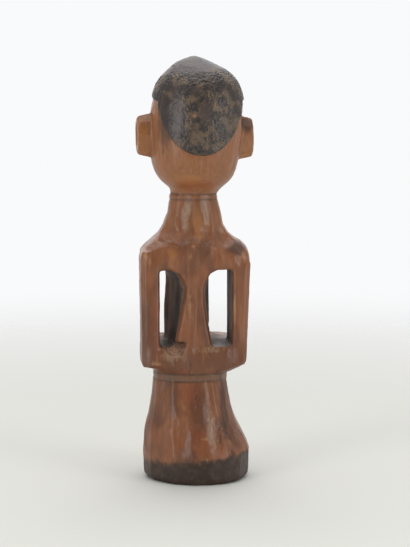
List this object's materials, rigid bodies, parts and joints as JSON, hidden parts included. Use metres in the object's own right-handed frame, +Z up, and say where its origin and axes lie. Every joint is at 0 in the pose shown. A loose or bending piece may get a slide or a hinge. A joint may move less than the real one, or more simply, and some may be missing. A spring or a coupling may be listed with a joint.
{
  "type": "carved wooden figure",
  "caption": "Upright carved wooden half figure on a flared foot: long neck, block ears, a raised hair cap, bent arms framing two windows beside the trunk; stands on its own weight.",
  "frame": {"origin": "middle of the flat underside of the foot, under the middle of the figure's overall width and depth", "axes": "+Z up along the figure, -Y towards where the face looks, +X towards the figure's left"},
  "size_m": [0.0612, 0.0582, 0.22],
  "materials": {
    "wood": "hand-carved hardwood with knife facets, worn semi-gloss patina, near-black hair cap and foot band"
  },
  "bodies": {
    "root": {"carved_figure": "wood"}
  },
  "joints": []
}
